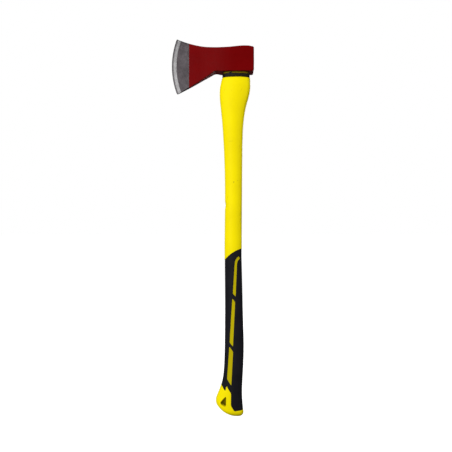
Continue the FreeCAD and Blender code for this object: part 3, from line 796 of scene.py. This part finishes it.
def make_seal():
    """A rubber strip wound on the tenon: its end laps over on the near side and stands up."""
    quarter = 56
    count = quarter * 4
    outer = ring(*SEAL, 0, quarter)
    inner = ring(*inset(TENON, -0.02), 0, quarter)
    turn = np.arange(count) / count
    lap = np.argmin(np.where(outer[:, 1] < 0, np.abs(outer[:, 0] + 13.5), 99)) / count
    around = (turn - lap) % 1
    thick = 0.8 + 0.2 * around
    thick -= 0.12 * np.exp(-around * count / 2)
    flap = np.exp(-((((turn - lap + 0.5) % 1) - 0.5) * count / 5.0) ** 2)
    low = SHOULDER + 0.15 + 1.1 * np.clip(waves(outer, 30, seed=21), 0, 1) \
        + 0.9 * smooth_step(outer[:, 0], -26, -4) * (outer[:, 1] < 0)
    high = -4.6 + 0.15 * waves(outer, 22, seed=22) + 4.0 * flap
    rows = []
    for depth, level in ((0.0, 0.06), (0.0, 0.5), (0.0, 0.94), (0.12, 1.0), (0.8, 1.0), (0.95, 0.97),
                         (1.0, 0.9), (1.02, 0.7), (0.99, 0.53), (0.965, 0.5), (0.99, 0.47),
                         (1.02, 0.3), (1.0, 0.1), (0.95, 0.03), (0.8, 0.0), (0.12, 0.0)):
        row = inner + (outer - inner) * (depth * thick)[:, None]
        row[:, 2] = low + (high - low) * level
        rows.append(row)
    rows = rows[::-1]
    points = np.concatenate(rows)
    points[:, :2] *= 1 + 0.002 * waves(points, 9, seed=23)[:, None]
    return make_mesh("neck_band", points, row_faces(len(rows), count, closed=True))


# ---------------------------------------------------------------- materials

class Nodes:
    """Short names for the shader nodes that these materials use."""

    def __init__(self, name):
        self.material = bpy.data.materials.new(name)
        self.material.use_nodes = True
        self.tree = self.material.node_tree
        self.shader = next(n for n in self.tree.nodes if n.type == "BSDF_PRINCIPLED")
        self.place = self.tree.nodes.new("ShaderNodeTexCoord").outputs["Object"]

    def put(self, socket, value):
        if isinstance(value, bpy.types.NodeSocket):
            self.tree.links.new(value, socket)
        else:
            socket.default_value = value

    def set(self, **values):
        for key, value in values.items():
            self.put(self.shader.inputs[key.replace("_", " ")], value)

    def node(self, kind, out, inputs, **settings):
        """A new node of a kind with these settings and inputs, and the output of that name."""
        node = self.tree.nodes.new("ShaderNode" + kind)
        for key, value in settings.items():
            setattr(node, key, value)
        for key, value in inputs.items():
            self.put(node.inputs[key], value)
        return node.outputs[out]

    def math(self, kind, a, b=0.0):
        return self.node("Math", 0, {0: a, 1: b}, operation=kind)

    def plus(self, a, b):
        return self.math("ADD", a, b)

    def minus(self, a, b):
        return self.math("SUBTRACT", a, b)

    def times(self, a, b):
        return self.math("MULTIPLY", a, b)

    def centred(self, value, size):
        """A value from 0 to 1 turned into one from -size/2 to size/2."""
        return self.times(self.minus(value, 0.5), size)

    def stretched(self, *scale):
        return self.node("Mapping", 0, {"Vector": self.place, "Scale": scale})

    def noise(self, scale, detail=3.0, rough=0.5, place=None):
        return self.node("TexNoise", "Fac", {"Vector": place or self.place, "Scale": scale,
                                             "Detail": detail, "Roughness": rough})

    def cells(self, scale, place=None, feature="F1"):
        return self.node("TexVoronoi", "Distance", {"Vector": place or self.place,
                                                    "Scale": scale}, feature=feature)

    def range(self, value, low, high, to_low=0.0, to_high=1.0):
        """A smooth step from to_low at low to to_high at high."""
        inputs = {"Value": value, "From Min": low, "From Max": high, "To Min": to_low,
                  "To Max": to_high}
        return self.node("MapRange", "Result", inputs, interpolation_type="SMOOTHSTEP")

    def mix(self, share, a, b):
        return self.node("Mix", "Result", {"Factor": share, "A": a, "B": b}, data_type="RGBA")

    def tint(self, colour, share, strength, tone):
        """The colour with up to strength of another tone mixed in."""
        return self.mix(self.times(share, strength), colour, tone)

    def axes(self):
        return [self.node("SeparateXYZ", k, {0: self.place}) for k in range(3)]

    def attribute(self, name):
        return self.node("Attribute", "Fac", {}, attribute_name=name)

    def bump(self, height, distance, strength=1.0, below=None):
        inputs = {"Height": height, "Distance": distance, "Strength": strength}
        if below is not None:
            inputs["Normal"] = below
        return self.node("Bump", 0, inputs)

    def spot(self, x, z, wide, high, slope=0.0):
        """1 at a place of the side view, falling to 0 over an ellipse; slope leans it."""
        ax = self.axes()
        lean = self.times(self.minus(ax[2], z * MM), slope)
        u = self.math("DIVIDE", self.minus(self.minus(ax[0], x * MM), lean), wide * MM)
        v = self.math("DIVIDE", self.minus(ax[2], z * MM), high * MM)
        total = self.plus(self.times(u, u), self.times(v, v))
        return self.range(total, 1.0, 0.0)


def rgb(r, g, b):
    return (r, g, b, 1.0)


def head_material():
    n = Nodes("red_enamel_and_steel")
    ax = n.axes()
    edge_wear_and_sheen, ground = n.attribute("edge_wear_and_sheen"), n.attribute("ground")
    ragged = n.noise(900, 4, 0.6)
    edge_at = n.plus(ax[0], n.centred(ragged, 0.0012))
    paint = n.range(edge_at, PAINT_EDGE * MM - 0.0002, PAINT_EDGE * MM + 0.0002)
    chips = n.plus(n.times(edge_wear_and_sheen, 0.75), n.times(n.plus(n.noise(420, 5, 0.65), n.noise(60, 2, 0.5)),
                                                0.35))
    paint = n.times(paint, n.minus(1.0, n.range(chips, 1.02, 1.06)))

    red = n.mix(n.range(n.noise(38, 3, 0.5), 0.3, 0.75), rgb(0.150, 0.0002, 0.0006),
                rgb(0.166, 0.0004, 0.0009))
    red = n.tint(red, n.range(n.noise(600, 2, 0.7), 0.62, 0.8), 0.25, rgb(0.10, 0.006, 0.005))
    # painted highlight: the red is painted lighter near the edges, standing in for light caught by
    # the rounded rims; the same edge value also places the real paint chips
    red = n.tint(red, n.range(edge_wear_and_sheen, 0.25, 0.9), 0.35, rgb(0.23, 0.004, 0.005))

    grain = n.noise(1.0, 4, 0.6, n.stretched(90, 600, 1500))
    cloud = n.noise(46, 5, 0.62)
    steel = n.mix(n.range(cloud, 0.3, 0.72), rgb(0.0365, 0.0315, 0.0340),
                  rgb(0.0555, 0.0490, 0.0525))
    steel = n.tint(steel, n.range(grain, 0.45, 0.75), 0.35, rgb(0.088, 0.080, 0.084))
    steel = n.tint(steel, n.range(n.cells(240), 0.25, 0.05), 0.30, rgb(0.026, 0.020, 0.018))
    # painted shade: the bare steel is darker towards the bottom of the bit
    steel = n.tint(steel, n.range(ax[2], 0.06, -0.04), 0.25, rgb(0.034, 0.031, 0.033))

    # the grinding marks follow the round of the cutting edge
    u, v = (n.minus(ax[k], centre * MM) for k, centre in zip((0, 2), EDGE_CENTRE))
    reach = n.math("SQRT", n.plus(n.times(u, u), n.times(v, v)))
    depth = n.minus(EDGE_RADIUS * MM, reach)
    angle = n.math("ARCTAN2", v, u)
    polar = n.node("CombineXYZ", 0, {0: n.times(depth, 60), 1: n.times(angle, 190)})
    scratches = n.noise(1.0, 6, 0.75, polar)
    # painted reflection: the broad bevel is painted bright and the honed strip at the edge dark,
    # standing in for how the two ground facets reflect the light; the scratches in both are the real
    # grinding
    broad = n.mix(n.range(scratches, 0.3, 0.7), rgb(0.115, 0.112, 0.114), rgb(0.175, 0.172, 0.175))
    honed_strip_reflection = n.mix(n.range(scratches, 0.3, 0.7), rgb(0.048, 0.045, 0.047), rgb(0.080, 0.077, 0.079))
    strip = n.range(n.plus(depth, n.centred(n.noise(120, 3), 0.0012)), 0.0036, 0.0046)
    cut = n.range(n.plus(ground, n.centred(n.noise(150, 4), 0.16)), -0.03, 0.05)
    metal = n.mix(cut, steel, n.mix(strip, honed_strip_reflection, broad))
    n.set(Base_Color=n.mix(paint, metal, red),
          Metallic=n.range(paint, 0.0, 1.0, 0.82, 0.0),
          Roughness=n.plus(n.range(paint, 0.0, 1.0, 0.40, 0.42),
                           n.centred(n.noise(75, 4), 0.22)),
          Specular_IOR_Level=0.022)
    low = n.bump(paint, 0.00012)
    low = n.bump(n.times(n.noise(330, 2, 0.5), paint), 0.00022, 0.55, low)
    rough_steel = n.times(n.plus(n.times(cloud, 0.5), grain), n.minus(1.0, paint))
    low = n.bump(rough_steel, 0.00018, 0.6, low)
    n.set(Normal=n.bump(n.times(scratches, cut), 0.00010, 0.7, low))
    return n.material


def yellow_material():
    n = Nodes("yellow_moulded_plastic")
    tone = n.range(n.noise(14, 3, 0.5), 0.3, 0.7)
    colour = n.mix(tone, rgb(0.93, 0.760, 0.0016), rgb(0.98, 0.815, 0.0012))
    grime = n.range(n.noise(150, 6, 0.7), 0.56, 0.80)
    colour = n.tint(colour, grime, 0.22, rgb(0.60, 0.47, 0.01))
    speck = n.times(n.range(n.cells(160), 0.10, 0.03), n.range(n.noise(40, 2), 0.5, 0.7))
    colour = n.tint(colour, speck, 0.45, rgb(0.22, 0.17, 0.02))
    smudge = n.noise(90, 5, 0.7)
    # scuffs and smudges in the side view: x, z, half width, half height, lean, strength
    marks = [
        (12, -345, 3.2, 42, 0.0, 0.50), (-6, -262, 2.2, 3.0, 0.0, 0.65),
        (4, -258, 2.0, 2.4, 0.0, 0.55), (-21, -300, 1.1, 10, 0.25, 0.35),
        (-26, -316, 3.0, 11, 0.0, 0.35), (-28.5, -46, 1.7, 11, 0.6, 0.45),
        (12, -44, 1.2, 7, 0.4, 0.16), (-11, -165, 11, 1.3, 0.0, 0.22),
        (8, -178, 1.0, 16, 0.3, 0.18), (-4, -500, 2.5, 5, 0.0, 0.3),
    ]
    for *place, strength in marks:
        spot = n.times(n.spot(*place), n.range(smudge, 0.38, 0.62, 0.2, 1.0))
        colour = n.tint(colour, spot, strength, rgb(0.20, 0.15, 0.01))
    ax = n.axes()
    # painted shade: the yellow is darkened just under the band, and over the band and in the gap
    # below the head, where shade falls
    colour = n.tint(colour, n.range(ax[2], -0.0150, -0.0130), 0.60, rgb(0.36, 0.25, 0.006))
    in_eye = n.range(ax[2], 0.010, 0.004)
    # painted shade: near-black over the band, up into the gap below the head
    above = n.times(n.range(ax[2], -0.0060, -0.0050), in_eye)
    colour = n.mix(above, colour, rgb(0.032, 0.022, 0.003))
    # painted shade: dark brown higher in the gap, under the head
    under = n.times(n.range(ax[2], -0.0034, -0.0024), in_eye)
    colour = n.tint(colour, under, 0.80, rgb(0.26, 0.18, 0.004))
    # painted shade: the yellow in the grip's windows is darkened, where they sink below the rubber
    colour = n.tint(colour, n.attribute("window_shade"), 0.70, rgb(0.30, 0.245, 0.0015))
    sawn = n.times(n.range(ax[2], 0.050, 0.053), n.range(smudge, 0.3, 0.7, 0.25, 0.6))
    colour = n.mix(sawn, colour, rgb(0.50, 0.42, 0.10))
    # painted shade: the bottom of the butt is darkened, with a patchy edge
    butt_end_shade = n.times(n.range(ax[2], -0.800, -0.816), n.range(smudge, 0.2, 0.7, 0.70, 0.95))
    colour = n.mix(butt_end_shade, colour, rgb(0.45, 0.37, 0.001))
    # painted shade: the recess in the butt is darkened, more towards its bottom, where its walls
    # shade it
    recess_shade_strength = n.range(ax[2], -0.765, -0.797, 0.70, 0.92)
    colour = n.tint(colour, n.attribute("painted_recess_shade"), recess_shade_strength, rgb(0.060, 0.050, 0.0004))
    n.set(Base_Color=colour, Specular_IOR_Level=0.03,
          Roughness=n.plus(0.34, n.times(n.noise(60, 5, 0.7), 0.20)))
    low = n.bump(n.noise(2600, 2, 0.6), 0.00005, 0.5)
    low = n.bump(n.noise(120, 3, 0.5), 0.00028, 0.45, low)
    scratch = n.range(n.noise(1.0, 5, 0.8, n.stretched(420, 420, 26)), 0.62, 0.72)
    n.set(Normal=n.bump(scratch, -0.00008, 0.5, low))
    return n.material


def rubber_material():
    n = Nodes("black_grip_rubber")
    tone = n.range(n.noise(26, 4, 0.6), 0.3, 0.7)
    colour = n.mix(tone, rgb(0.0052, 0.0050, 0.0076), rgb(0.0086, 0.0083, 0.0122))
    pebble = n.cells(720, feature="SMOOTH_F1")
    dust = n.range(n.noise(210, 6, 0.75), 0.52, 0.78)
    colour = n.tint(colour, dust, 0.35, rgb(0.020, 0.0195, 0.023))
    worn_tops = n.range(pebble, 0.0, 0.5, 1.0, 0.0)
    colour = n.tint(colour, worn_tops, 0.25, rgb(0.0150, 0.0148, 0.0200))
    n.set(Base_Color=colour, Specular_IOR_Level=0.10,
          Roughness=n.plus(0.52, n.times(n.noise(90, 4), 0.22)))
    low = n.bump(pebble, -0.00030, 0.75)
    n.set(Normal=n.bump(n.noise(1900, 2, 0.6), 0.00006, 0.5, low))
    return n.material


def seal_material():
    n = Nodes("brown_black_band")
    run = n.noise(1.0, 5, 0.65, n.stretched(60, 60, 900))
    colour = n.mix(n.range(run, 0.3, 0.7), rgb(0.006, 0.0040, 0.0030), rgb(0.013, 0.0088, 0.0066))
    dust = n.range(n.noise(300, 5, 0.7), 0.55, 0.75)
    colour = n.tint(colour, dust, 0.4, rgb(0.026, 0.019, 0.014))
    n.set(Base_Color=colour, Specular_IOR_Level=0.12,
          Roughness=n.plus(0.45, n.times(n.noise(200, 4), 0.3)))
    low = n.bump(run, 0.00025, 0.7)
    n.set(Normal=n.bump(n.noise(1500, 3, 0.6), 0.0001, 0.6, low))
    return n.material


def resin_material():
    n = Nodes("black_cast_resin")
    colour = n.mix(n.range(n.noise(70, 4), 0.3, 0.7), rgb(0.0065, 0.0062, 0.0068),
                   rgb(0.0150, 0.0140, 0.0135))
    dust = n.range(n.noise(500, 5, 0.7), 0.6, 0.8)
    colour = n.tint(colour, dust, 0.5, rgb(0.06, 0.052, 0.045))
    n.set(Base_Color=colour, Specular_IOR_Level=0.55,
          Roughness=n.plus(0.16, n.times(n.noise(120, 5, 0.7), 0.28)))
    bubbles = n.range(n.cells(420), 0.0, 0.22)
    low = n.bump(n.noise(160, 2), 0.0005, 0.6)
    n.set(Normal=n.bump(bubbles, 0.00025, 0.5, low))
    return n.material


def core_material():
    n = Nodes("sawn_fibreglass")
    fibres = n.cells(2400, n.stretched(1, 1, 0.02))
    streaks = n.noise(1.0, 4, 0.6, n.stretched(900, 900, 9))
    colour = n.mix(n.range(streaks, 0.3, 0.7), rgb(0.52, 0.52, 0.36), rgb(0.70, 0.70, 0.55))
    colour = n.mix(n.range(fibres, 0.5, 0.1, 0.0, 0.6), colour, rgb(0.30, 0.31, 0.20))
    dirt = n.range(n.noise(180, 4, 0.7), 0.5, 0.75)
    colour = n.tint(colour, dirt, 0.5, rgb(0.20, 0.18, 0.12))
    n.set(Base_Color=colour, Roughness=n.plus(0.58, n.times(n.noise(300, 3), 0.25)))
    low = n.bump(fibres, 0.00012, 0.8)
    sawn = n.noise(1.0, 3, 0.6, n.stretched(90, 2600, 90))
    n.set(Normal=n.bump(sawn, 0.00012, 0.6, low))
    return n.material


# ---------------------------------------------------------------- the object

piece_of(make_head(), "axe_head", head_material())
jacket, grip = make_handle()
piece_of(jacket, "handle_jacket", yellow_material())
piece_of(grip, "grip_sleeve", rubber_material())
piece_of(make_core(), "handle_core", core_material())
piece_of(make_resin(), "eye_epoxy", resin_material())
piece_of(make_seal(), "neck_seal", seal_material())


# ---------------------------------------------------------------- stage, light and camera

FLOOR_LEVEL = BUTT - 120
FLOOR_SPOKES = 96
FLOOR_RINGS = (300, 1000, 2500, 6000, 14000, 30000)


def make_floor():
    """A broad pale floor well under the butt."""
    angles = np.linspace(0, 2 * math.pi, FLOOR_SPOKES, endpoint=False)
    rings = [np.c_[r * np.cos(angles), r * np.sin(angles), np.full(FLOOR_SPOKES, FLOOR_LEVEL)]
             for r in FLOOR_RINGS]
    points = np.concatenate(rings + [[[0, 0, FLOOR_LEVEL]]])
    faces = [(b, a, d, c) for c, d, a, b in row_faces(len(rings), FLOOR_SPOKES)]
    faces += fan(len(points) - 1, 0, FLOOR_SPOKES, False)
    floor = make_mesh("studio_floor", points, faces)
    n = Nodes("pale_floor")
    ax = n.axes()
    reach = n.math("SQRT", n.plus(n.times(ax[0], ax[0]), n.times(ax[1], ax[1])))
    n.set(Base_Color=n.mix(n.noise(0.8, 2), rgb(0.90, 0.90, 0.90), rgb(0.93, 0.93, 0.93)),
          Roughness=0.9, Specular_IOR_Level=0.1, Emission_Color=rgb(1, 1, 1),
          Emission_Strength=n.range(reach, 0.2, 2.2, 0.34, 0.64))
    floor.data.materials.append(n.material)
    floor.visible_diffuse = False
    floor.visible_glossy = False


def area_light(name, place, size, power):
    """A white soft light that looks at the middle of the handle."""
    data = bpy.data.lights.new(name, "AREA")
    data.shape = "RECTANGLE"
    data.size, data.size_y = size
    data.energy = power
    lamp = bpy.data.objects.new(name, data)
    lamp.location = place
    lamp.rotation_euler = (Vector(LIT_PLACE) - Vector(place)).to_track_quat("-Z", "Y").to_euler()
    bpy.context.scene.collection.objects.link(lamp)


def make_world():
    """An even white surround: dimmer as a light than as a background."""
    world = bpy.data.worlds.new("studio")
    bpy.context.scene.world = world
    world.use_nodes = True
    tree = world.node_tree
    light = tree.nodes["Background"]
    light.inputs["Color"].default_value = (1, 1, 1, 1)
    way = tree.nodes.new("ShaderNodeSeparateXYZ")
    tree.links.new(tree.nodes.new("ShaderNodeTexCoord").outputs["Generated"], way.inputs[0])
    level = tree.nodes.new("ShaderNodeMapRange")
    for key, value in (("From Min", -0.45), ("From Max", 0.25), ("To Min", 0.10), ("To Max", 0.44)):
        level.inputs[key].default_value = value
    tree.links.new(way.outputs[2], level.inputs["Value"])
    tree.links.new(level.outputs["Result"], light.inputs["Strength"])
    shown = tree.nodes.new("ShaderNodeBackground")
    shown.inputs["Color"].default_value = (1, 1, 1, 1)
    shown.inputs["Strength"].default_value = 1.0
    mix = tree.nodes.new("ShaderNodeMixShader")
    path = tree.nodes.new("ShaderNodeLightPath")
    tree.links.new(path.outputs["Is Camera Ray"], mix.inputs[0])
    tree.links.new(light.outputs[0], mix.inputs[1])
    tree.links.new(shown.outputs[0], mix.inputs[2])
    tree.links.new(mix.outputs[0], tree.nodes["World Output"].inputs["Surface"])


LIT_PLACE = (-0.03, 0, -0.35)

make_floor()
make_world()
area_light("key", (-1.1, -1.9, 0.1), (1.2, 2.0), 41)
area_light("fill", (1.4, -1.5, 0.2), (1.0, 1.6), 6)
area_light("back", (0.7, 1.8, 0.6), (1.4, 1.4), 22)

camera_data = bpy.data.cameras.new("camera")
camera_data.sensor_width = 36
camera_data.lens = 38.33
camera_data.clip_end = 100
camera = bpy.data.objects.new("camera", camera_data)
camera.location = (-0.0241, -1.150, -0.3655)
camera.rotation_euler = (math.radians(90), 0, 0)
bpy.context.scene.collection.objects.link(camera)
bpy.context.scene.camera = camera
bpy.context.scene.view_settings.view_transform = "Standard"
